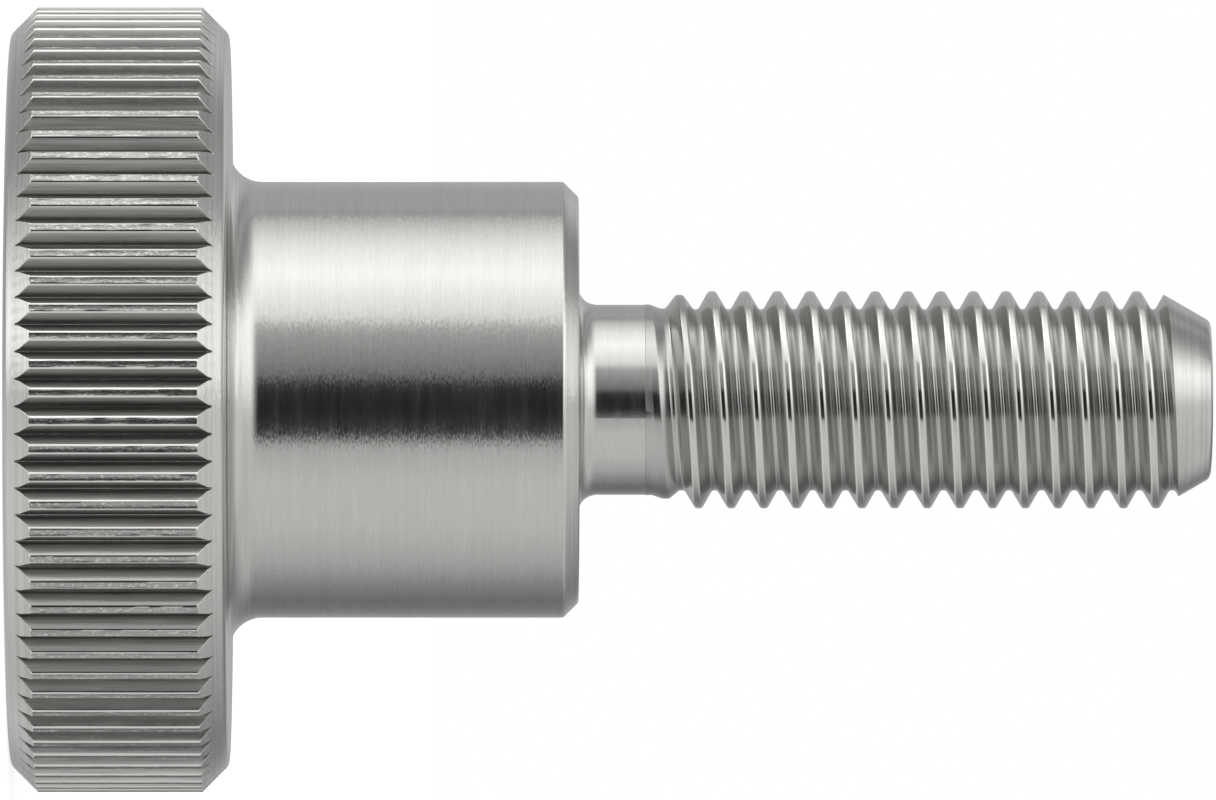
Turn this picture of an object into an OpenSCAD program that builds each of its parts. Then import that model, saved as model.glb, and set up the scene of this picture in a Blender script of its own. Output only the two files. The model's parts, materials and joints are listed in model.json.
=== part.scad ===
// Knurled thumb screw with a high collar, made from one bar.
// Sizes are in millimetres and angles in degrees. The screw stands on the outer
// face of its head at z = 0, and its axis runs up along +Z to the tip of the thread.

/* [Head] */
// Diameter of the head over the knurl
head_d = 36; // [30:0.5:44]
// Thickness of the knurled disc
head_h = 10; // [7:0.5:14]
// Chamfer on both rims of the disc
rim_chamfer = 1.3; // [0.8:0.1:2]

/* [Knurl] */
// Number of straight grooves around the disc
knurl_count = 88; // [60:1:96]
// Depth of each groove
knurl_depth = 0.62; // [0.3:0.02:0.76]
// Width of the smooth land left between two grooves
knurl_land = 0.48; // [0.2:0.02:0.6]
// Width of the flat at the bottom of each groove
knurl_root = 0.08; // [0.04:0.02:0.2]
// Angle of the first groove around the axis
knurl_turn = 1; // [0:0.5:5]

/* [Collar] */
// Diameter of the collar under the head
collar_d = 20; // [15:0.5:26]
// Length of the collar, from the disc to its bearing face
collar_h = 16; // [6:0.5:24]
// Fillet where the collar leaves the disc
collar_fillet = 1.5; // [0.5:0.1:2.2]
// Chamfer on the edge of the bearing face
collar_chamfer = 0.7; // [0.3:0.1:1.5]

/* [Neck] */
// Diameter of the plain neck between the collar and the thread
neck_d = 8.75; // [8.3:0.05:9.5]
// Length of the neck, from the bearing face to the first turn of the thread
neck_h = 2.8; // [1.5:0.1:6]
// Fillet where the neck leaves the bearing face
neck_fillet = 0.8; // [0.3:0.1:1.2]

/* [Thread] */
// Outer diameter of the thread
thread_d = 9.97; // [9.6:0.01:12]
// Pitch of the thread
pitch = 1.5; // [1.25:0.25:1.75]
// Width of the flat along the top of the thread
crest_flat = 0.3; // [0.1:0.02:0.36]
// Length from the bearing face to the tip
shank_length = 29; // [18:1:45]
// Length over which the crests rise to their full height
crest_runout = 3.4; // [1.5:0.1:6]
// Length over which the grooves sink to their full depth
root_runout = 1.6; // [0.8:0.1:4]
// Angle by which the whole thread is turned about the axis
thread_turn = 329; // [0:1:359]

/* [Tip] */
// Diameter of the flat end face, measured to the sharp corner
tip_d = 7.2; // [5:0.1:8]
// Angle between the end chamfer and the axis
tip_angle = 30; // [20:1:45]
// Rounding between the end chamfer and the end face
tip_round = 0.4; // [0.2:0.05:0.8]

/* [Hidden] */

$fn = 96;
steel = [0.72, 0.71, 0.70];

head_r = head_d/2;
collar_r = collar_d/2;
neck_r = neck_d/2;
thread_r = thread_d/2;
tip_r = tip_d/2;

bearing_z = head_h + collar_h;
thread_z = bearing_z + neck_h;
tip_z = bearing_z + shank_length;

// Metric thread form: 60 degree flanks, a flat crest and a round root.
flank_angle = 30;
root_radius = pitch/8/cos(flank_angle);
root_lift = root_radius/2;
flank_depth = (pitch/2 - crest_flat/2 - pitch/8)/tan(flank_angle);
thread_depth = flank_depth + root_lift;

// The thread starts just inside the neck, so that its first turn grows out of it.
start_inset = 0.05;
start_r = neck_r - start_inset;
// Straight sides in one turn of the thread.
thread_sides = 40;
// What cuts away reaches this far past what it cuts.
over = 1;

// Points of one pitch: distance along the axis from the middle of the crest,
// and height from the root (0) to the crest (1).
thread_form = [
    [-crest_flat/2, 1],
    [crest_flat/2, 1],
    [pitch/2 - pitch/8, root_lift/thread_depth],
    [pitch/2, 0],
    [pitch/2 + pitch/8, root_lift/thread_depth]
];
form_points = len(thread_form);
// Crest on the +X side that lies one to two turns below the start of the thread.
turn_shift = pitch*thread_turn/360;
first_crest_z = turn_shift + pitch*(floor((thread_z - turn_shift)/pitch) - 1);
thread_turns = ceil((tip_z - first_crest_z)/pitch) + 1;
last_row = thread_turns*form_points;

function mix(a, b, t) = a + (b - a)*t;
function ease(t) = let (s = max(0, min(1, t))) s*s*(3 - 2*s);
function crest_r(z) = mix(start_r, thread_r, ease((z - thread_z)/crest_runout));
function root_r(z) = mix(start_r, thread_r - thread_depth, ease((z - thread_z)/root_runout));

// Point on the thread: row counts the points of the form up the axis, and side
// counts around it, rising by one pitch in a full turn.
function row_z(row, side) = first_crest_z + thread_form[row % form_points][0]
    + pitch*(floor(row/form_points) + side/thread_sides);
function thread_point(row, side) = let (
        z = row_z(row, side),
        r = mix(root_r(z), crest_r(z), thread_form[row % form_points][1]),
        angle = 360*side/thread_sides
    ) [r*cos(angle), r*sin(angle), z];
function index(row, side) = row*thread_sides + side;
// The column after the last side is the first one again, one turn higher.
function next_index(row, side) = side < thread_sides - 1
    ? index(row, side + 1) : index(row + form_points, 0);

// Groove half-angle seen from the axis at a radius, on flanks of even slope.
knurl_flank_w = (PI*head_d/knurl_count - knurl_land - knurl_root)/2;
function groove_half_w(r) = knurl_root/2 + knurl_flank_w*(r - head_r + knurl_depth)/knurl_depth;
function groove_point(i, r, side) = let (
        angle = 360*i/knurl_count + knurl_turn + side*atan(groove_half_w(r)/r)
    ) [r*cos(angle), r*sin(angle)];

// Quarter-round fillet in the inner corner at radius r and height z of a profile.
module corner_fillet(r, z, radius) {
    translate([r, z])
        difference() {
            translate([-over, -over])
                square(radius + over);
            translate([radius, radius])
                circle(r = radius);
        }
}

// Half section of the head disc.
module disc_profile() {
    polygon([
        [0, 0], [head_r - rim_chamfer, 0], [head_r, rim_chamfer],
        [head_r, head_h - rim_chamfer], [head_r - rim_chamfer, head_h], [0, head_h]
    ]);
}

// Half section of the collar.
module collar_profile() {
    polygon([
        [0, head_h - over], [collar_r, head_h - over], [collar_r, bearing_z - collar_chamfer],
        [collar_r - collar_chamfer, bearing_z], [0, bearing_z]
    ]);
    corner_fillet(collar_r, head_h, collar_fillet);
}

// Half section of the neck, down into the collar.
module neck_profile() {
    translate([0, bearing_z - over])
        square([neck_r, neck_h + over]);
    corner_fillet(neck_r, bearing_z, neck_fillet);
}

// Head, collar and neck as they leave the lathe, before knurling.
module turned_blank() {
    rotate_extrude() {
        disc_profile();
        collar_profile();
        neck_profile();
    }
}

// Ring of teeth that cuts the straight grooves into the rim of the disc.
module knurl_teeth() {
    rim = head_r + knurl_depth/8;
    translate([0, 0, -over])
        linear_extrude(head_h + 2*over)
            difference() {
                circle(r = head_r + over);
                polygon([for (i = [0:knurl_count - 1]) each [
                    groove_point(i, rim, -1), groove_point(i, head_r - knurl_depth, -1),
                    groove_point(i, head_r - knurl_depth, 1), groove_point(i, rim, 1)
                ]]);
            }
}

// Endless right-hand thread: one skin of helical rows, closed at both ends by a
// fan of triangles that lies inside the neck and beyond the tip.
module thread_bar() {
    points = [
        for (row = [0:last_row]) for (side = [0:thread_sides - 1]) thread_point(row, side),
        [0, 0, first_crest_z - pitch],
        [0, 0, row_z(last_row, thread_sides) + pitch]
    ];
    bottom = len(points) - 2;
    top = len(points) - 1;
    bottom_rim = [
        for (side = [0:thread_sides - 1]) index(0, side),
        for (row = [form_points:-1:0]) index(row, 0)
    ];
    top_rim = [
        for (side = [0:thread_sides - 1]) index(last_row, side),
        for (row = [1:form_points]) index(last_row - row, thread_sides - 1),
        index(last_row, 0)
    ];
    skin = [
        for (side = [0:thread_sides - 1])
            for (row = [0:last_row - 1 - (side < thread_sides - 1 ? 0 : form_points)]) each [
                [index(row, side), index(row + 1, side), next_index(row + 1, side)],
                [index(row, side), next_index(row + 1, side), next_index(row, side)]
            ]
    ];
    bottom_fan = [for (k = [0:len(bottom_rim) - 2]) [bottom_rim[k], bottom_rim[k + 1], bottom]];
    top_fan = [for (k = [0:len(top_rim) - 2]) [top_rim[k + 1], top_rim[k], top]];
    polyhedron(points = points, faces = concat(skin, bottom_fan, top_fan), convexity = 10);
}

// Room that the finished end may fill: wide along the thread, then chamfered and
// rounded to the flat end face.
module tip_envelope() {
    wide_r = thread_r + over;
    // Centre of the rounding, which touches the chamfer and the end face.
    round_r = tip_r - tip_round*tan((90 - tip_angle)/2);
    round_z = tip_z - tip_round;
    touch = [round_r + tip_round*cos(tip_angle), round_z + tip_round*sin(tip_angle)];
    rotate_extrude() {
        polygon([
            [0, first_crest_z - 2*pitch], [wide_r, first_crest_z - 2*pitch],
            [wide_r, tip_z - (wide_r - tip_r)/tan(tip_angle)], touch,
            [round_r, round_z], [round_r, tip_z], [0, tip_z]
        ]);
        intersection() {
            translate([round_r, round_z])
                circle(r = tip_round);
            translate([0, round_z - over])
                square([wide_r, tip_round + over]);
        }
    }
}

module thumb_screw() {
    color(steel)
        union() {
            difference() {
                turned_blank();
                knurl_teeth();
            }
            intersection() {
                thread_bar();
                tip_envelope();
            }
        }
}

thumb_screw();
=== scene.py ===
"""Knurled thumb screw with a high collar, turned from bar, with a rolled knurl and a rolled thread.

The screw stands on the outer face of its head, and its axis runs up along +Z. It is
modelled in millimetres and brought to metres at the end.
"""

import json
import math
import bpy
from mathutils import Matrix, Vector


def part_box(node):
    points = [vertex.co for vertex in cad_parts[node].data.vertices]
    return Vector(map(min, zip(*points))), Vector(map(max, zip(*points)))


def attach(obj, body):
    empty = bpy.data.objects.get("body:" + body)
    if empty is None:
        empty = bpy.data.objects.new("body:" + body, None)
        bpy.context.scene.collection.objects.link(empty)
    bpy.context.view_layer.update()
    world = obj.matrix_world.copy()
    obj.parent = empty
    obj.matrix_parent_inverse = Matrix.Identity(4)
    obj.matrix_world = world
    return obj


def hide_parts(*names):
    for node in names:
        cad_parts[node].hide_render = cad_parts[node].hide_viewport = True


bl_info = {
    "name": "Knurled Thumb Screw",
    "version": (1, 0, 0),
    "blender": (4, 5, 0),
    "location": "3D View > Sidebar > Thumb Screw",
    "description": "Builds a stainless steel thumb screw and the studio it stands in",
    "category": "Add Mesh",
}

from types import SimpleNamespace

import bmesh
import bpy
from bpy.props import FloatProperty, FloatVectorProperty, IntProperty, PointerProperty
from mathutils import Matrix, Vector, noise

NODE = "thumb_screw"
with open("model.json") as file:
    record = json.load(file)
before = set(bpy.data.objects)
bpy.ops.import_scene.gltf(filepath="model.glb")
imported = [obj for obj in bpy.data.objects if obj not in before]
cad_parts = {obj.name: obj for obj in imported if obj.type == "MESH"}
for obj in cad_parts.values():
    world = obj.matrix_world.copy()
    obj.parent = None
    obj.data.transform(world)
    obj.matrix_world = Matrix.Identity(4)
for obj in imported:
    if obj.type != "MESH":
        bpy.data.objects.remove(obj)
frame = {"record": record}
cad_low, cad_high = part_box(NODE)

MM = 0.001
TAU = 2 * math.pi

mounts = {mount["name"]: mount for mount in frame["record"]["mounts"]}
cad_head_d = (cad_high.x - cad_low.x) / MM
cad_tip_z = cad_high.z / MM
cad_bearing_z = mounts["bearing_face"]["pos_m"][2] / MM
cad_collar_d = 2 * mounts["collar"]["dims"]["r_mm"]
cad_thread_d = 2 * mounts["thread"]["dims"]["r_mm"]


# ------------------------------------------------------------------ sizes and colours


def length(name, description, millimetres):
    """A length property, given in millimetres and held in scene units."""
    return FloatProperty(
        name=name, description=description, default=millimetres * MM, min=0.0, unit="LENGTH", precision=5
    )


def turn(name, description, degrees):
    """An angle property, given in degrees."""
    return FloatProperty(
        name=name, description=description, default=math.radians(degrees), subtype="ANGLE"
    )


def colour(name, description, value):
    """A colour property."""
    return FloatVectorProperty(name=name, description=description, default=value, subtype="COLOR")


def roughness(name, description, smooth, rough):
    """A property with the roughness of a finish where it is smoothest and where it is roughest."""
    return FloatVectorProperty(
        name=name, description=description, default=(smooth, rough), size=2, min=0.0, max=1.0
    )


class ScrewSizes(bpy.types.PropertyGroup):
    """Sizes of the screw"""

    head_d: length("Head diameter", "Diameter over the knurl", cad_head_d)
    head_h: length("Disc thickness", "Thickness of the knurled disc", 10)
    rim_chamfer: length("Rim chamfer", "Chamfer on both rims of the disc", 1.24)
    rim_round: length("Rim rounding", "Rounding between the rim chamfers and the faces of the disc", 0.2)
    edge_round: length("Edge rounding", "Rounding on the edges of the collar", 0.08)
    knurl_count: IntProperty(name="Grooves", description="Number of straight grooves", default=88, min=12)
    knurl_depth: length("Groove depth", "Depth of each knurl groove", 0.7)
    knurl_land: length("Land", "Width of the top of a knurl tooth", 0.38)
    knurl_root: length("Root", "Width at the bottom of a knurl groove", 0.08)
    knurl_lip: length("Lip", "Size of the rounded lips of a tooth", 0.12)
    knurl_bend: length("Bend", "Depth at which the flanks of a groove steepen", 0.5)
    knurl_slope: turn("Flank slope", "Angle between the upper flanks and the middle plane of a groove", 34.5)
    knurl_tear: length("Torn valley", "Depth of the torn valley along the top of a tooth", 0.02)
    knurl_burr: length("Burr", "Rounding where the knurl runs out on the chamfers", 0.07)
    knurl_turn: turn("Knurl turn", "Angle of the first groove", 1)
    collar_d: length("Collar diameter", "Diameter of the collar", cad_collar_d)
    collar_fillet: length("Collar fillet", "Fillet between the disc and the collar", 1.5)
    collar_chamfer: length("Collar chamfer", "Chamfer at the bearing face", 0.7)
    bearing_z: length("Bearing face", "Height of the bearing face", cad_bearing_z)
    neck_d: length("Neck diameter", "Diameter of the plain neck", 8.75)
    neck_h: length("Neck length", "Length of the neck below the rolled start", 3.05)
    neck_fillet: length("Neck fillet", "Fillet between the neck and the bearing face", 0.8)
    neck_step: length("Neck step", "Step between the turned neck and the rolled start", 0.015)
    thread_d: length("Thread diameter", "Outer diameter of the thread", cad_thread_d)
    pitch: length("Pitch", "Pitch of the thread", 1.5)
    thread_depth: length("Thread depth", "Depth of the thread", 0.83)
    flank_angle: turn("Flank angle", "Angle between a flank of the thread and a plane across the axis", 30)
    crest_flat: length("Crest width", "Width of the thread's crest between its sharp corners", 0.3)
    crest_round: length("Crest rounding", "Rounding on the corners of the crest", 0.08)
    root_round: length("Root rounding", "Rounding at the bottom of the thread", 0.1)
    rolled_start: length("Rolled start", "Length over which the neck passes into the thread", 0.3)
    crest_runout: length("Crest run-out", "Length over which the crests rise", 2.4)
    root_runout: length("Root run-out", "Length over which the grooves sink", 1.1)
    thread_turn: turn("Thread turn", "Angle by which the thread is turned", 329)
    thread_lean: turn("Thread lean", "Angle by which the rolled thread leans on the shank", 0.85)
    thread_shift: length("Thread shift", "Shift of the leaning thread along the axis", 0.075)
    tip_plain: length("Plain tip", "Length at the tip that the groove does not reach", 1.55)
    tip_d: length("Tip diameter", "Diameter of the end face at its sharp corner", 7.2)
    tip_angle: turn("Tip angle", "Angle between the end chamfer and the axis", 30)
    tip_round: length("Tip rounding", "Rounding between the end chamfer and the end face", 0.4)
    tip_z: length("Length", "Height of the tip", cad_tip_z)


class StudioSizes(bpy.types.PropertyGroup):
    """Sizes of the floor and the camera's view"""

    camera_distance: length("Camera distance", "From the axis to the camera", 790)
    camera_z: length("Camera height", "Height of the camera", 20.57)
    aim_z: length("Aim height", "Height that the camera looks at", 27.36)
    field: length("Field", "Width of the view at the axis", 55.8)
    floor_radius: length("Floor radius", "Radius of the floor", 12000)
    floor_colour: colour("Floor", "Colour of the floor", (0.5, 0.5, 0.5))
    floor_glow: FloatProperty(name="Floor glow", description="Light that the floor gives off", default=0.72)


class SteelFinish(bpy.types.PropertyGroup):
    """Colours and roughness of the steel, each from its darkest or smoothest to the other end"""

    steel: colour("Steel", "Colour of the bare steel", (0.64, 0.634, 0.618))
    shade: colour("Streaks", "Colour of the darker streaks on turned faces", (0.54, 0.534, 0.518))
    # The groove bottom, groove lip and lip colours are the ends of a painted shade that darkens the grooves
    # towards their bottom and a painted highlight that brightens them towards the lips.
    flank_dark: colour("Groove bottom", "Colour of a groove near its bottom", (0.25, 0.247, 0.24))
    flank_light: colour("Groove lip", "Colour of a groove near its lips", (0.575, 0.5681, 0.552))
    crest_dark: colour("Torn crest", "Colour of the torn tops of the teeth", (0.4, 0.3952, 0.384))
    lip_light: colour("Lip", "Colour of the lips where they are brightest", (0.736, 0.7291, 0.7107))
    thread_dark: colour("Thread streaks", "Colour of the thread's streaks", (0.5832, 0.57672, 0.55944))
    thread_light: colour("Thread", "Colour of the thread between its streaks", (0.6208, 0.61498, 0.59946))
    turned_rough: roughness("Turned faces", "Roughness of turned faces", 0.12, 0.2)
    flank_rough: roughness("Groove flanks", "Roughness of the knurl's flanks", 0.3, 0.4)
    crest_rough: roughness("Torn crests", "Roughness of the torn tops of the teeth", 0.12, 0.26)
    lip_rough: roughness("Lips", "Roughness of the lips of the teeth", 0.08, 0.16)
    thread_rough: roughness("Thread crests", "Roughness of the thread's crest", 0.06, 0.12)


def in_mm(group):
    """The values of a property group, with its lengths in millimetres."""
    values = {}
    for prop in group.bl_rna.properties:
        value = getattr(group, prop.identifier)
        is_length = getattr(prop, "unit", "NONE") == "LENGTH"
        values[prop.identifier] = value / MM if is_length else value
    return SimpleNamespace(**values)


# ------------------------------------------------------------------ shaping

# Two points closer than this, in millimetres, are one.
SAME = 1e-4
# A point this close to a surface that trims it lies on it.
ON_SURFACE = 2e-3
# Halvings that find where an edge crosses that surface.
TRIM_STEPS = 14
# Edges that turn more sharply than this stay crisp.
CRISP = math.radians(30)
# Distance from a rounding at which the shading of the face beside it is held.
HOLD = 0.06


def wire(bm, points):
    """A chain of edges through the points."""
    verts = [bm.verts.new(point) for point in points]
    for pair in zip(verts, verts[1:]):
        bm.edges.new(pair)
    return verts


def round_corner(bm, vert, offset, segments):
    """Rounds a corner of a wire."""
    bmesh.ops.bevel(
        bm, geom=[vert], offset=offset, offset_type="OFFSET", segments=segments, profile=0.5,
        affect="VERTICES", material=-1, clamp_overlap=True,
    )


def everything(bm):
    """Everything that a bmesh holds."""
    return bm.verts[:] + bm.edges[:] + bm.faces[:]


def merge(bm):
    """Joins the points that lie in one place."""
    bmesh.ops.remove_doubles(bm, verts=bm.verts, dist=SAME)


def radius(co):
    """Distance from the axis."""
    return math.hypot(co.x, co.y)


def set_radius(co, value):
    """Moves a point straight away from the axis or towards it."""
    scale = value / radius(co)
    co.x *= scale
    co.y *= scale


def trim(bm, reach):
    """Cuts along the surface of revolution with the radius reach(z), and lays on it all that stood out."""
    def excess(co):
        return radius(co) - reach(co.z)

    above = {vert: excess(vert.co) for vert in bm.verts}
    on_line = {vert for vert, value in above.items() if abs(value) < ON_SURFACE}
    crossing = [
        edge for edge in bm.edges
        if on_line.isdisjoint(edge.verts) and above[edge.verts[0]] * above[edge.verts[1]] < 0
    ]
    for edge in crossing:
        a, b = edge.verts
        start, end = a.co.copy(), b.co.copy()
        low, high = 0.0, 1.0
        for _ in range(TRIM_STEPS):
            middle = (low + high) / 2
            if excess(start.lerp(end, middle)) * above[a] > 0:
                low = middle
            else:
                high = middle
        on_line.add(bmesh.utils.edge_split(edge, a, low)[1])
    bmesh.ops.connect_verts(bm, verts=list(on_line))
    for vert in bm.verts:
        if vert in on_line or excess(vert.co) > 0:
            set_radius(vert.co, reach(vert.co.z))


def cut_level(bm, z, **clear):
    """Cuts level at the height z."""
    bmesh.ops.bisect_plane(
        bm, geom=everything(bm), dist=SAME, plane_co=(0, 0, z), plane_no=(0, 0, 1), **clear
    )


def ring_edges(bm, z):
    """Open edges that lie at the height z."""
    return [
        edge for edge in bm.edges
        if edge.is_boundary and all(abs(vert.co.z - z) < SAME for vert in edge.verts)
    ]


def extend_ring(bm, edges, points):
    """Carries an open ring on through rings of the given radius and height."""
    for r, z in points:
        made = bmesh.ops.extrude_edge_only(bm, edges=edges)["geom"]
        for vert in (item for item in made if isinstance(item, bmesh.types.BMVert)):
            set_radius(vert.co, r)
            vert.co.z = z
        edges = [item for item in made if isinstance(item, bmesh.types.BMEdge) and item.is_boundary]
    return edges


def arc(centre_r, centre_z, size, start, end, steps):
    """Points of a quarter or less of a circle in the half section, angles in degrees."""
    angles = [math.radians(start + (end - start) * i / steps) for i in range(steps + 1)]
    return [(centre_r + size * math.cos(a), centre_z + size * math.sin(a)) for a in angles]


def ease(t):
    """A smooth step from 0 to 1."""
    t = max(0.0, min(1.0, t))
    return t * t * (3 - 2 * t)


def mix(a, b, t):
    """The value that lies the share t of the way from a to b."""
    return a + (b - a) * t


# ------------------------------------------------------------------ knurled rim

# Material slots of the screw.
TURNED, FLANK, CREST, LIP, ROLLED = range(5)

# Spacing of the rows of points that the torn valleys follow.
ROW = 0.3
# Plain chamfer left between the points of the grooves and the ends of the knurled band.
BAND_MARGIN = 0.08
# Height of the strip that joins the band to the chamfers of the blank.
BAND_SEAM = 0.05
# Depth down to which the top of a tooth is torn, and height up to which the bottom of a groove is.
TORN_TOP, TORN_ROOT = 0.012, 0.008
# Share of the size of a lip that has the finish of a lip.
LIP_SHARE = 0.9
# Unevenness of the torn valleys, and its counts per millimetre across and along the rim.
TEAR_NOISE = 0.02
TEAR_ACROSS, TEAR_ALONG = 2.2, 1.3


def polar(r, angle, z):
    """The point at a distance from the axis, an angle around it and a height."""
    return Vector((r * math.cos(angle), r * math.sin(angle), z))


def band_ends(s):
    """Heights at which the knurled band ends."""
    low = s.rim_chamfer - s.knurl_depth - BAND_MARGIN
    return low, s.head_h - low


def groove_section(bm, s, z):
    """Section of one groove, from the middle of one tooth to the middle of the next."""
    head_r = s.head_d / 2
    root_r = head_r - s.knurl_depth
    wall_r = head_r - s.knurl_bend
    crest = TAU / s.knurl_count / 2
    corner = crest - s.knurl_land / 2 / head_r
    wall = corner - s.knurl_bend * math.tan(s.knurl_slope) / wall_r
    root = s.knurl_root / 2 / root_r
    half = [
        (head_r, crest), (head_r, (crest + corner) / 2), (head_r, corner), (wall_r, wall), (root_r, root)
    ]
    points = [polar(r, -a, z) for r, a in half] + [polar(root_r, 0, z)]
    verts = wire(bm, points + [polar(r, a, z) for r, a in reversed(half)])
    for vert in (verts[2], verts[-3]):
        round_corner(bm, vert, s.knurl_lip, 4)
    for vert in (verts[4], verts[-5]):
        round_corner(bm, vert, s.knurl_root / 3, 1)
    bmesh.ops.rotate(bm, verts=bm.verts, cent=(0, 0, 0), matrix=Matrix.Rotation(s.knurl_turn, 3, "Z"))


def tear_crests(bm, s):
    """Sinks the torn valley along the top of each tooth."""
    head_r = s.head_d / 2
    step = TAU / s.knurl_count
    half_land = s.knurl_land / 2 / head_r
    for vert in bm.verts:
        co = vert.co
        if radius(co) < head_r - SAME * 10:
            continue
        tooth = (math.atan2(co.y, co.x) - s.knurl_turn) / step + 0.5
        off = abs(tooth - round(tooth)) * step / half_land
        spot = Vector((co.x * TEAR_ACROSS, co.y * TEAR_ACROSS, co.z * TEAR_ALONG))
        depth = s.knurl_tear * (1 - min(off, 1) ** 2) + TEAR_NOISE * noise.fractal(spot, 0.8, 2.0, 3)
        set_radius(co, head_r - max(0.0, depth))


def knurled_rim(s):
    """The knurled band of the disc, with its grooves run out on both chamfers."""
    head_r = s.head_d / 2
    low, high = band_ends(s)
    bm = bmesh.new()
    groove_section(bm, s, low)
    made = bmesh.ops.extrude_edge_only(bm, edges=bm.edges)["geom"]
    upper = [item for item in made if isinstance(item, bmesh.types.BMVert)]
    bmesh.ops.translate(bm, verts=upper, vec=(0, 0, high - low))
    crest_length = s.head_h - 2 * s.rim_chamfer
    rows = round(crest_length / ROW)
    for i in range(rows + 1):
        cut_level(bm, s.rim_chamfer + crest_length * i / rows)
    for face in bm.faces:
        depth = head_r - radius(face.calc_center_median())
        torn = depth < TORN_TOP or depth > s.knurl_depth - TORN_ROOT
        face.material_index = CREST if torn else LIP if depth < s.knurl_lip * LIP_SHARE else FLANK
    bmesh.ops.spin(
        bm, geom=everything(bm), cent=(0, 0, 0), axis=(0, 0, 1), dvec=(0, 0, 0),
        angle=TAU * (s.knurl_count - 1) / s.knurl_count, steps=s.knurl_count - 1, use_duplicate=True,
    )
    merge(bm)
    tear_crests(bm, s)

    def chamfer_r(z):
        return head_r - s.rim_chamfer + min(z, s.head_h - z)

    trim(bm, chamfer_r)
    for face in bm.faces:
        on_chamfer = all(radius(vert.co) - chamfer_r(vert.co.z) > -SAME * 5 for vert in face.verts)
        z = face.calc_center_median().z
        if on_chamfer and min(z, s.head_h - z) < s.rim_chamfer:
            face.material_index = TURNED
    return bm


# ------------------------------------------------------------------ turned parts

# Sides of everything that is turned.
TURNED_STEPS = 176
# Width of the ring of triangles that joins the bearing face to the fillet of the neck.
BEARING_RING = 0.4


def hold_shading(bm, edges):
    """Splits long edges close to their ends, so that a rounding keeps its shading to itself."""
    for edge in edges:
        size = edge.calc_length()
        if size < 4 * HOLD:
            continue
        start, end = edge.verts
        near = bmesh.utils.edge_split(edge, start, HOLD / size)[1]
        rest = bm.edges.get((near, end))
        bmesh.utils.edge_split(rest, end, HOLD / rest.calc_length())


def spin_profile(bm, points, corners):
    """Turns a half section once round the axis. corners gives the rounding of some of its points."""
    verts = wire(bm, [(r, 0, z) for r, z in points])
    for index, (size, segments) in corners.items():
        round_corner(bm, verts[index], size, segments)
    hold_shading(bm, [edge for edge in bm.edges if edge.is_wire])
    profile_verts = [vert for vert in bm.verts if not vert.link_faces]
    profile_edges = [edge for edge in bm.edges if edge.is_wire]
    bmesh.ops.spin(
        bm, geom=profile_verts + profile_edges, cent=(0, 0, 0), axis=(0, 0, 1), dvec=(0, 0, 0), angle=TAU,
        steps=TURNED_STEPS, use_merge=True, use_duplicate=False,
    )


def turned_blank(s):
    """End face, upper face, collar and bearing face, without the knurled band between them."""
    flat_r = s.head_d / 2 - s.rim_chamfer
    collar_r = s.collar_d / 2
    seam = band_ends(s)[0] - BAND_SEAM
    rim, edge = (s.rim_round, 4), (s.edge_round, 3)
    bm = bmesh.new()
    spin_profile(bm, [(0, 0), (flat_r, 0), (flat_r + seam, seam)], {1: rim})
    upper = [
        (flat_r + seam, s.head_h - seam),
        (flat_r, s.head_h),
        (collar_r, s.head_h),
        (collar_r, s.bearing_z - s.collar_chamfer),
        (collar_r - s.collar_chamfer, s.bearing_z),
        (s.neck_d / 2 + s.neck_fillet + BEARING_RING, s.bearing_z),
    ]
    spin_profile(bm, upper, {1: rim, 2: (s.collar_fillet, 10), 3: edge, 4: edge})
    merge(bm)
    for face in bm.faces:
        face.material_index = TURNED
    return bm


# ------------------------------------------------------------------ thread

# Sides of one turn of the thread.
THREAD_SIDES = 96
# Shares of a flank at which two points keep its shading flat between the roundings.
FLANK_HOLDS = (0.13, 0.84)
# Height above the start of the thread from which the end chamfer may cut it.
CHAMFER_FREE = 5
# Room between the root of the thread and the level where the thread gives way to the plain cone.
CONE_ROOM = 0.15
# Radius of the small flat that closes the end face.
END_CAP_R = 0.5


def thread_lines(s):
    """Radii and heights that the parts of the thread share."""
    start_z = s.bearing_z + s.neck_h
    crest_r = s.thread_d / 2
    root_r = crest_r - s.thread_depth
    tip_r = s.tip_d / 2
    cone_slope = math.tan(s.tip_angle)
    turned = s.pitch * s.thread_turn / TAU
    first_crest_z = turned + s.pitch * (math.floor((start_z - turned) / s.pitch) - 1)
    return SimpleNamespace(
        start_z=start_z, crest_r=crest_r, root_r=root_r, neck_r=s.neck_d / 2, tip_r=tip_r,
        cone_slope=cone_slope, cone_z=s.tip_z - (root_r - CONE_ROOM - tip_r) / cone_slope,
        groove_z=first_crest_z + s.pitch / 2, turns=math.ceil((s.tip_z - first_crest_z) / s.pitch) + 1,
    )


def thread_section(bm, s, t):
    """Half section of the first groove of the thread, from crest to crest."""
    crest_edge = s.pitch / 2 - s.crest_flat / 2
    root_edge = crest_edge - s.thread_depth * math.tan(s.flank_angle)
    flank = [(mix(t.crest_r, t.root_r, f), mix(crest_edge, root_edge, f)) for f in FLANK_HOLDS]
    half = [(t.crest_r, s.pitch / 2), (t.crest_r, crest_edge), *flank, (t.root_r, root_edge)]
    points = [(r, 0, t.groove_z - d) for r, d in half] + [(r, 0, t.groove_z + d) for r, d in reversed(half)]
    verts = wire(bm, points)
    for vert in (verts[1], verts[-2]):
        round_corner(bm, vert, s.crest_round, 3)
    for vert in (verts[4], verts[5]):
        round_corner(bm, vert, s.root_round, 3)


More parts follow.
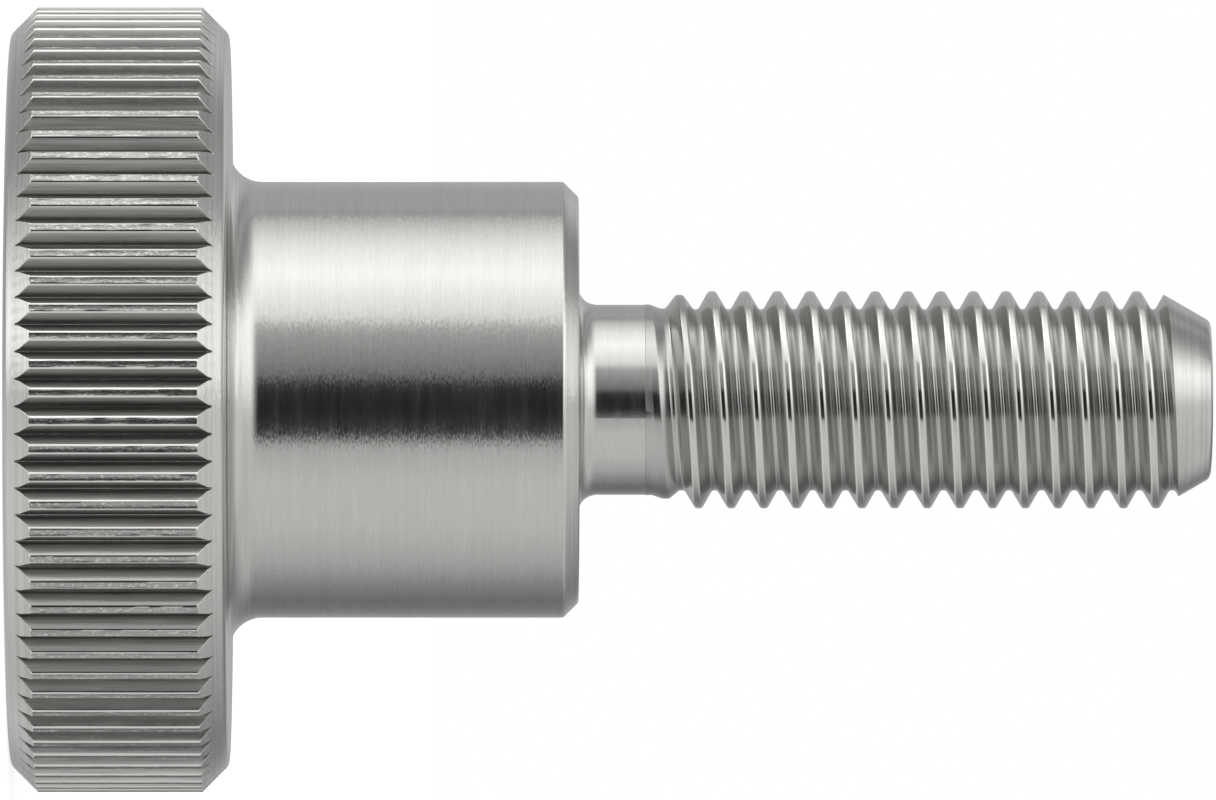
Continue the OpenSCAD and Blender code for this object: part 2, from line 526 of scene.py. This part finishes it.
def endless_thread(bm, s, turns):
    """Winds the section once round the axis and repeats that turn."""
    bmesh.ops.spin(
        bm, geom=bm.verts[:] + bm.edges[:], cent=(0, 0, 0), axis=(0, 0, 1),
        dvec=(0, 0, s.pitch / THREAD_SIDES), angle=TAU, steps=THREAD_SIDES,
        use_merge=False, use_duplicate=False,
    )
    first_turn = everything(bm)
    for i in range(1, turns):
        copy = bmesh.ops.duplicate(bm, geom=first_turn)["geom"]
        verts = [item for item in copy if isinstance(item, bmesh.types.BMVert)]
        bmesh.ops.translate(bm, verts=verts, vec=(0, 0, s.pitch * i))
    merge(bm)


def run_out_thread(bm, s, t):
    """Lets the thread grow out of the neck, fade towards the tip and lean on the shank."""
    for vert in bm.verts:
        co = vert.co
        helix = math.atan2(co.y, co.x) / TAU
        along = (co.z - t.groove_z) / s.pitch - helix
        groove_z = t.groove_z + s.pitch * (round(along) + helix)
        crest_z = t.groove_z + s.pitch * (math.floor(along) + 0.5 + helix)
        bottom = mix(t.neck_r, t.root_r, ease((groove_z - t.start_z) / s.root_runout))
        bottom = mix(bottom, t.crest_r, ease((groove_z - s.tip_z + s.tip_plain) / s.rolled_start))
        top = mix(t.neck_r, t.crest_r, ease((crest_z - t.start_z) / s.crest_runout))
        rolled_r = mix(bottom, top, (radius(co) - t.root_r) / s.thread_depth)
        co.z += s.thread_shift + co.x * math.tan(s.thread_lean)
        set_radius(co, mix(t.neck_r, rolled_r, ease((co.z - t.start_z) / s.rolled_start)))


def close_tip(bm, s, t):
    """Adds the rounded end of the cone and the end face."""
    round_r = t.tip_r - s.tip_round * math.tan((math.pi / 2 - s.tip_angle) / 2)
    end = arc(round_r, s.tip_z - s.tip_round, s.tip_round, math.degrees(s.tip_angle), 90, 5)
    end += [(round_r - HOLD, s.tip_z), (END_CAP_R, s.tip_z)]
    rim = extend_ring(bm, ring_edges(bm, t.cone_z), end)
    bmesh.ops.contextual_create(bm, geom=rim)


def add_neck(bm, s, t):
    """Adds the turned neck and its fillet down to the bearing face."""
    turned_r = t.neck_r - s.neck_step
    step_z = t.start_z - s.neck_step
    fillet_z = s.bearing_z + s.neck_fillet
    neck = [(turned_r, z) for z in (step_z, step_z - HOLD, fillet_z + HOLD, fillet_z)]
    fillet = arc(t.neck_r + s.neck_fillet, fillet_z, s.neck_fillet, 180, 270, 7)[1:]
    extend_ring(bm, ring_edges(bm, t.start_z), neck + fillet)


def thread_bar(s):
    """The neck and the rolled thread, from the bearing face to the end face."""
    t = thread_lines(s)

    def cone_r(z):
        return t.tip_r + (s.tip_z - z) * t.cone_slope

    bm = bmesh.new()
    thread_section(bm, s, t)
    endless_thread(bm, s, t.turns)
    run_out_thread(bm, s, t)
    trim(bm, lambda z: cone_r(z) if z > t.start_z + CHAMFER_FREE else t.crest_r)
    cut_level(bm, t.start_z, clear_inner=True)
    cut_level(bm, t.cone_z, clear_outer=True)
    for face in bm.faces:
        on_cone = all(abs(radius(vert.co) - cone_r(vert.co.z)) < SAME * 20 for vert in face.verts)
        face.material_index = TURNED if on_cone else ROLLED
    close_tip(bm, s, t)
    add_neck(bm, s, t)
    for face in bm.faces:
        if not t.start_z <= face.calc_center_median().z <= t.cone_z:
            face.material_index = TURNED
    return bm


# ------------------------------------------------------------------ the screw


def join(target, other):
    """Adds the geometry of one bmesh to another."""
    spare = bpy.data.meshes.new("spare")
    other.to_mesh(spare)
    target.from_mesh(spare)
    other.free()
    bpy.data.meshes.remove(spare)


def screw_mesh(s):
    """The whole screw as one closed skin, in metres."""
    bm = knurled_rim(s)
    join(bm, turned_blank(s))
    low, high = band_ends(s)
    for band_z, blank_z in ((low, low - BAND_SEAM), (high, high + BAND_SEAM)):
        bmesh.ops.bridge_loops(bm, edges=ring_edges(bm, band_z) + ring_edges(bm, blank_z))
    join(bm, thread_bar(s))
    bmesh.ops.triangle_fill(bm, edges=ring_edges(bm, s.bearing_z), use_beauty=True, normal=(0, 0, 1))
    bmesh.ops.recalc_face_normals(bm, faces=bm.faces)
    for face in bm.faces:
        face.smooth = True
    for edge in bm.edges:
        kinds = {face.material_index for face in edge.link_faces}
        knurl_end = TURNED in kinds and kinds & {FLANK, CREST, LIP}
        edge.smooth = edge.calc_face_angle(0) < CRISP and not knurl_end
    bmesh.ops.scale(bm, vec=(MM, MM, MM), verts=bm.verts)
    return bm


# ------------------------------------------------------------------ materials

# Depths below the crest of the thread where the look of a flank ends and that of the crest begins.
FLANK_END, CREST_START = 0.12, 0.05


def add(tree, kind, feeds=None, **settings):
    """Adds a node. feeds gives each input a value or the output that feeds it."""
    node = tree.nodes.new(kind)
    for name, value in settings.items():
        setattr(node, name, value)
    for key, value in (feeds or {}).items():
        if isinstance(value, bpy.types.NodeSocket):
            tree.links.new(value, node.inputs[key])
        else:
            node.inputs[key].default_value = value
    return node


def maths(tree, operation, *values):
    """Works on numbers."""
    return add(tree, "ShaderNodeMath", dict(enumerate(values)), operation=operation).outputs[0]


def vector(tree, operation, *values, **feeds):
    """Works on vectors."""
    node = add(tree, "ShaderNodeVectorMath", {**dict(enumerate(values)), **feeds}, operation=operation)
    return node.outputs["Value" if operation == "LENGTH" else "Vector"]


def upright(tree, height):
    """A vector along the axis."""
    return add(tree, "ShaderNodeCombineXYZ", {"Z": height}).outputs[0]


def ranged(tree, value, low, high, to_low, to_high, interpolation="LINEAR"):
    """Carries a value from the range low to high into another range, and keeps it there."""
    feeds = {0: value, 1: low, 2: high, 3: to_low, 4: to_high}
    return add(tree, "ShaderNodeMapRange", feeds, interpolation_type=interpolation).outputs[0]


def blend(tree, factor, first, second):
    """Mixes two colours, whose sockets come after those for numbers and vectors."""
    return add(tree, "ShaderNodeMix", {0: factor, 6: first, 7: second}, data_type="RGBA").outputs[2]


def shading_normal(tree):
    """Normal of the surface, smooth across its faces."""
    return add(tree, "ShaderNodeNewGeometry").outputs["Normal"]


def on_axis(tree):
    """Direction from the axis, radius and height of the shaded point, in millimetres."""
    point = vector(tree, "SCALE", add(tree, "ShaderNodeTexCoord").outputs["Object"], Scale=1 / MM)
    flat = vector(tree, "MULTIPLY", point, (1, 1, 0))
    return SimpleNamespace(
        point=point,
        away=vector(tree, "NORMALIZE", flat),
        radius=vector(tree, "LENGTH", flat),
        height=add(tree, "ShaderNodeSeparateXYZ", {0: point}).outputs["Z"],
    )


def noise_texture(tree, dimensions, detail, **place):
    """Fractal noise at a place that is already scaled."""
    feeds = {**place, "Scale": 1, "Detail": detail, "Roughness": 0.6}
    return add(tree, "ShaderNodeTexNoise", feeds, noise_dimensions=dimensions).outputs["Fac"]


def turning_noise(tree, at, across, along, detail, seed):
    """Noise drawn out around the axis. across and along are its counts per millimetre and per radian."""
    around = vector(tree, "SCALE", at.away, Scale=along)
    place = vector(tree, "ADD", around, upright(tree, maths(tree, "MULTIPLY", at.height, across)))
    depth = maths(tree, "MULTIPLY_ADD", at.radius, across, seed)
    return noise_texture(tree, "4D", detail, Vector=place, W=depth)


def stretched_noise(tree, at, scale, detail):
    """Noise with its own scale along each of the object's axes, in counts per millimetre."""
    return noise_texture(tree, "3D", detail, Vector=vector(tree, "MULTIPLY", at.point, scale))


def spread(tree, factor, low, high):
    """Spreads the middle of a noise over the range from low to high."""
    return ranged(tree, factor, 0.3, 0.7, low, high)


def leaned_normal(tree, at, factor, amount):
    """Normal that leans to and fro around the axis, by at most half of amount and less on the shank."""
    side = vector(tree, "CROSS_PRODUCT", (0, 0, 1), at.away)
    limit = maths(tree, "MULTIPLY", ranged(tree, at.radius, 4, 10, 0.1, 1), amount)
    lean = maths(tree, "MULTIPLY", ranged(tree, factor, 0.25, 0.75, -0.5, 0.5), limit)
    total = vector(tree, "ADD", shading_normal(tree), vector(tree, "SCALE", side, Scale=lean))
    return vector(tree, "NORMALIZE", total)


def rounded_end(tree, at, normal, s):
    """Normal that turns over towards the chamfer where a groove runs out on it."""
    middle = s.head_h / 2
    cone = s.head_d / 2 - s.rim_chamfer + middle
    above = maths(tree, "SUBTRACT", at.height, middle)
    spent = maths(tree, "ADD", maths(tree, "ABSOLUTE", above), at.radius)
    near = ranged(tree, spent, cone - s.knurl_burr, cone, 0, 0.9)
    chamfer = vector(tree, "ADD", at.away, upright(tree, maths(tree, "SIGN", above)))
    total = vector(tree, "ADD", normal, vector(tree, "SCALE", chamfer, Scale=near))
    return vector(tree, "NORMALIZE", total)


def marks_group(name, shade_gloss_normal):
    """A node group with the shade, the gloss and the normal of some tool marks; in the knurl's grooves the
    shade also holds painted shade and light by depth.
    """
    tree = bpy.data.node_groups.new(name, "ShaderNodeTree")
    kinds = {"Shade": "NodeSocketFloat", "Gloss": "NodeSocketFloat", "Normal": "NodeSocketVector"}
    for output, kind in kinds.items():
        tree.interface.new_socket(name=output, in_out="OUTPUT", socket_type=kind)
    add(tree, "NodeGroupOutput", dict(zip(kinds, shade_gloss_normal(tree, on_axis(tree)))))
    return tree


def turning_marks(tree, at):
    """Short streaks that a lathe tool or a die leaves around the axis, and rings on the flat faces."""
    fine = turning_noise(tree, at, 20, 7, 2, 0)
    broad = turning_noise(tree, at, 3.2, 2.5, 2, 40)
    lines = turning_noise(tree, at, 16, 55, 2, 80)
    rings = spread(tree, turning_noise(tree, at, 5, 0.4, 1, 120), -0.25, 0.25)
    facing = add(tree, "ShaderNodeSeparateXYZ", {0: shading_normal(tree)}).outputs["Z"]
    weight = ranged(tree, maths(tree, "ABSOLUTE", facing), 0.2, 0.6, 0.2, 1.1)
    cut = maths(tree, "MULTIPLY_ADD", rings, weight, 0.28)
    both = maths(tree, "MULTIPLY_ADD", fine, 0.45, cut)
    return spread(tree, both, 0, 1), spread(tree, broad, 0, 1), leaned_normal(tree, at, lines, 0.075)


def drawn_marks_and_depth_shade(tree, at, s):
    """Fine lines along the axis in the grooves of the knurl, with painted shade that darkens the grooves
    towards their bottom and painted light that brightens them towards their lips.
    """
    lines = stretched_noise(tree, at, (9, 9, 0.25), 2)
    grain = stretched_noise(tree, at, (9, 9, 4), 3)
    head_r = s.head_d / 2
    # Painted shade and light: the colour darkens with depth into a groove and brightens towards its lips.
    painted_depth_shade = ranged(tree, at.radius, head_r - s.knurl_depth, head_r, -0.1, 0.7)
    shade = maths(tree, "ADD", spread(tree, lines, 0, 0.5), painted_depth_shade)
    return shade, spread(tree, grain, 0, 1), rounded_end(tree, at, leaned_normal(tree, at, lines, 0.12), s)


def steel_material(name, look):
    """Bare steel. look gives the outputs for its colour, roughness and normal."""
    material = bpy.data.materials.new(name)
    material.use_nodes = True
    tree = material.node_tree
    shader = tree.nodes["Principled BSDF"]
    shader.inputs["Metallic"].default_value = 1
    for socket, output in zip(("Base Color", "Roughness", "Normal"), look(tree)):
        tree.links.new(output, shader.inputs[socket])
    return material


def marked_look(tree, marks, dark, light, rough):
    """Steel that the marks shade from dark to light and from smooth to rough."""
    effect = add(tree, "ShaderNodeGroup", node_tree=marks).outputs
    streaks = blend(tree, effect["Shade"], (*dark, 1), (*light, 1))
    return streaks, ranged(tree, effect["Gloss"], 0, 1, *rough), effect["Normal"]


def torn_look(tree, dark, light, rough):
    """The torn tops of the knurl's teeth: dull, pitted and strewn with bright specks."""
    at = on_axis(tree)
    pits = stretched_noise(tree, at, (10, 10, 6), 4)
    specks = ranged(tree, stretched_noise(tree, at, (9, 9, 5), 3), 0.52, 0.66, 0, 1)
    relief = add(tree, "ShaderNodeBump", {"Height": pits, "Strength": 0.45, "Distance": 0.04 * MM})
    return blend(tree, specks, (*dark, 1), (*light, 1)), spread(tree, pits, *rough), relief.outputs[0]


def rolled_look(tree, marks, dark, light, rough, crest_r):
    """The rolled thread: a painted highlight along its crest, and painted shade that makes it a little
    darker down its flanks, which are also duller.
    """
    streaks, gloss, normal = marked_look(tree, marks, dark, light, rough)
    depth_at = on_axis(tree).radius

    def by_depth(flank, crest):
        return ranged(tree, depth_at, crest_r - FLANK_END, crest_r - CREST_START, flank, crest)

    # Painted shade and highlight: the colour is darker down the flanks and lighter along the crest.
    shaded = vector(tree, "SCALE", streaks, Scale=by_depth(0.84, 1.08))
    return shaded, maths(tree, "ADD", gloss, by_depth(0.08, 0)), normal


def screw_materials(s, finish):
    """Materials in the order of TURNED, FLANK, CREST, LIP and ROLLED."""
    turned = marks_group("Turning marks", turning_marks)
    groove_marks_and_shade = marks_group("Drawn marks and depth shade", lambda tree, at: drawn_marks_and_depth_shade(tree, at, s))
    looks = {
        "turned_steel": lambda tree: marked_look(
            tree, turned, finish.shade, finish.steel, finish.turned_rough
        ),
        "knurl_flank": lambda tree: marked_look(
            tree, groove_marks_and_shade, finish.flank_dark, finish.flank_light, finish.flank_rough
        ),
        "knurl_crest": lambda tree: torn_look(tree, finish.crest_dark, finish.steel, finish.crest_rough),
        "knurl_lip": lambda tree: marked_look(tree, groove_marks_and_shade, finish.steel, finish.lip_light, finish.lip_rough),
        "rolled_thread": lambda tree: rolled_look(
            tree, turned, finish.thread_dark, finish.thread_light, finish.thread_rough, s.thread_d / 2
        ),
    }
    return [steel_material(name, look) for name, look in looks.items()]


# ------------------------------------------------------------------ studio

# Brightness of the studio around the screw's axis, by the angle from the camera in
# degrees: level with the screw, above its tip, high above its tip and below its head.
LEVEL_LIGHT = (
    (-180, 0.50), (-150, 0.27), (-133, 0.22), (-115, 0.35), (-95, 0.60), (-70, 0.76), (-45, 0.78),
    (-23.5, 0.64), (-19.2, 0.05), (-5, 0.02), (8.3, 0.03), (13, 0.26), (38, 0.56), (44, 1.15),
    (70, 1.65), (90, 1.30), (112, 0.68), (116, 0.40), (121, 0.54), (150, 0.50), (180, 0.50),
)
TIP_LIGHT = (
    (-180, 0.42), (-165, 0.24), (-150, 0.30), (-136, 0.46), (-113, 0.70), (-11, 0.80), (3, 1.15),
    (18, 1.45), (47, 1.60), (60, 1.38), (73, 1.02), (85, 0.66), (98, 0.42), (112, 0.36), (124, 0.50),
    (131, 0.38), (138, 0.36), (144, 0.48), (160, 0.76), (180, 0.62),
)
POLE_LIGHT = (
    (-180, 0.5), (-113, 0.72), (-90, 0.82), (-11, 0.84), (60, 1.44), (95, 1.48), (107, 1.15),
    (120, 0.74), (180, 0.5),
)
HEAD_LIGHT = (
    (-180, 0.70), (-150, 0.72), (-135, 0.64), (-120, 0.80), (-104, 0.92), (-97, 0.74), (-92, 0.80),
    (60, 1.10), (90, 2.00), (97, 2.35), (104, 2.30), (107, 1.75), (115, 0.86), (124, 0.62), (130, 0.40),
    (150, 0.45), (180, 0.60),
)
# Steepness of a direction at which the level light gives way to the lights of the two ends,
# and at which the light above the tip gives way to the one high above it.
TO_ENDS = (0.15, 0.55)
TO_POLE = (0.84, 0.93)


def light_ramp(tree, place, stops):
    """Brightness that follows the stops around the axis."""
    ramp = add(tree, "ShaderNodeValToRGB", {0: place})
    elements = ramp.color_ramp.elements
    while len(elements) < len(stops):
        elements.new(0.5)
    for element, (degrees, light) in zip(elements, stops):
        element.position = degrees / 360 + 0.5
        element.color = (light, light, light, 1)
    return ramp.outputs[0]


def build_world(scene):
    """Studio light for the steel to mirror, behind a plain white backdrop."""
    world = bpy.data.worlds.new("studio")
    scene.world = world
    world.use_nodes = True
    tree = world.node_tree
    tree.nodes.clear()
    towards = vector(tree, "SCALE", add(tree, "ShaderNodeTexCoord").outputs["Generated"], Scale=-1)
    x, y, z = add(tree, "ShaderNodeSeparateXYZ", {0: towards}).outputs
    place = ranged(tree, maths(tree, "ARCTAN2", x, y), -math.pi, math.pi, 0, 1)
    steep = maths(tree, "ABSOLUTE", z)
    level, tip, pole, head = (
        light_ramp(tree, place, stops) for stops in (LEVEL_LIGHT, TIP_LIGHT, POLE_LIGHT, HEAD_LIGHT)
    )
    above = blend(tree, ranged(tree, steep, *TO_POLE, 0, 1, "SMOOTHSTEP"), tip, pole)
    ends = blend(tree, maths(tree, "GREATER_THAN", z, 0), above, head)
    light = blend(tree, ranged(tree, steep, *TO_ENDS, 0, 1, "SMOOTHSTEP"), level, ends)
    studio = add(tree, "ShaderNodeBackground", {"Color": light})
    backdrop = add(tree, "ShaderNodeBackground", {"Color": (1, 1, 1, 1)})
    seen = add(tree, "ShaderNodeLightPath").outputs["Is Camera Ray"]
    both = add(tree, "ShaderNodeMixShader", {0: seen, 1: studio.outputs[0], 2: backdrop.outputs[0]})
    add(tree, "ShaderNodeOutputWorld", {0: both.outputs[0]})


def build_floor(scene, studio):
    """A pale round floor, which glows a little and is not mirrored in the steel."""
    bm = bmesh.new()
    bmesh.ops.create_circle(bm, cap_ends=True, radius=studio.floor_radius, segments=64)
    mesh = bpy.data.meshes.new("floor")
    bm.to_mesh(mesh)
    bm.free()
    material = bpy.data.materials.new("floor")
    material.use_nodes = True
    shader = material.node_tree.nodes["Principled BSDF"].inputs
    shader["Base Color"].default_value = (*studio.floor_colour, 1)
    shader["Roughness"].default_value = 0.9
    shader["Emission Color"].default_value = (1, 1, 1, 1)
    shader["Emission Strength"].default_value = studio.floor_glow
    mesh.materials.append(material)
    floor = bpy.data.objects.new("floor", mesh)
    floor.visible_glossy = False
    scene.collection.objects.link(floor)


def build_camera(scene, studio):
    """A camera on its side, so that the screw's axis runs level through the picture."""
    camera = bpy.data.cameras.new("camera")
    camera.lens = camera.sensor_width * studio.camera_distance / studio.field
    camera.clip_start = 0.01
    view = bpy.data.objects.new("camera", camera)
    scene.collection.objects.link(view)
    place = Vector((0, -studio.camera_distance, studio.camera_z))
    back = (place - Vector((0, 0, studio.aim_z))).normalized()
    up = Vector((-1, 0, 0))
    view.matrix_world = Matrix.Translation(place) @ Matrix((up.cross(back), up, back)).transposed().to_4x4()
    scene.camera = view


# ------------------------------------------------------------------ operators


class SCREW_OT_build(bpy.types.Operator):
    """Builds the thumb screw in the place of its CAD node"""

    bl_idname = "thumbscrew.build_screw"
    bl_label = "Build screw"

    def execute(self, context):
        s = in_mm(context.scene.screw_sizes)
        mesh = bpy.data.meshes.new("thumb_screw_body")
        bm = screw_mesh(s)
        bm.to_mesh(mesh)
        bm.free()
        screw = bpy.data.objects.new("thumb_screw_body", mesh)
        context.scene.collection.objects.link(screw)
        for material in screw_materials(s, context.scene.steel_finish):
            mesh.materials.append(material)
        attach(screw, "root")
        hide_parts(NODE)
        return {"FINISHED"}


class SCREW_OT_stage(bpy.types.Operator):
    """Sets up the floor, the studio light and the camera"""

    bl_idname = "thumbscrew.build_stage"
    bl_label = "Build stage"

    def execute(self, context):
        scene = context.scene
        build_floor(scene, scene.studio_sizes)
        build_world(scene)
        build_camera(scene, scene.studio_sizes)
        scene.view_settings.view_transform = "Standard"
        return {"FINISHED"}


class SCREW_PT_panel(bpy.types.Panel):
    """Buttons that build the screw and its stage"""

    bl_idname = "SCREW_PT_panel"
    bl_label = "Thumb Screw"
    bl_space_type = "VIEW_3D"
    bl_region_type = "UI"
    bl_category = "Thumb Screw"

    def draw(self, context):
        for operator in (SCREW_OT_build, SCREW_OT_stage):
            self.layout.operator(operator.bl_idname)


CLASSES = (ScrewSizes, StudioSizes, SteelFinish, SCREW_OT_build, SCREW_OT_stage, SCREW_PT_panel)
GROUPS = {"screw_sizes": ScrewSizes, "studio_sizes": StudioSizes, "steel_finish": SteelFinish}


def register():
    """Adds the classes and their settings to Blender."""
    for item in CLASSES:
        bpy.utils.register_class(item)
    for name, group in GROUPS.items():
        setattr(bpy.types.Scene, name, PointerProperty(type=group))


def unregister():
    """Takes the settings and the classes out again."""
    for name in GROUPS:
        delattr(bpy.types.Scene, name)
    for item in reversed(CLASSES):
        bpy.utils.unregister_class(item)


def main():
    """Builds the screw and its stage."""
    register()
    bpy.ops.thumbscrew.build_screw()
    bpy.ops.thumbscrew.build_stage()


if __name__ == "__main__":
    main()
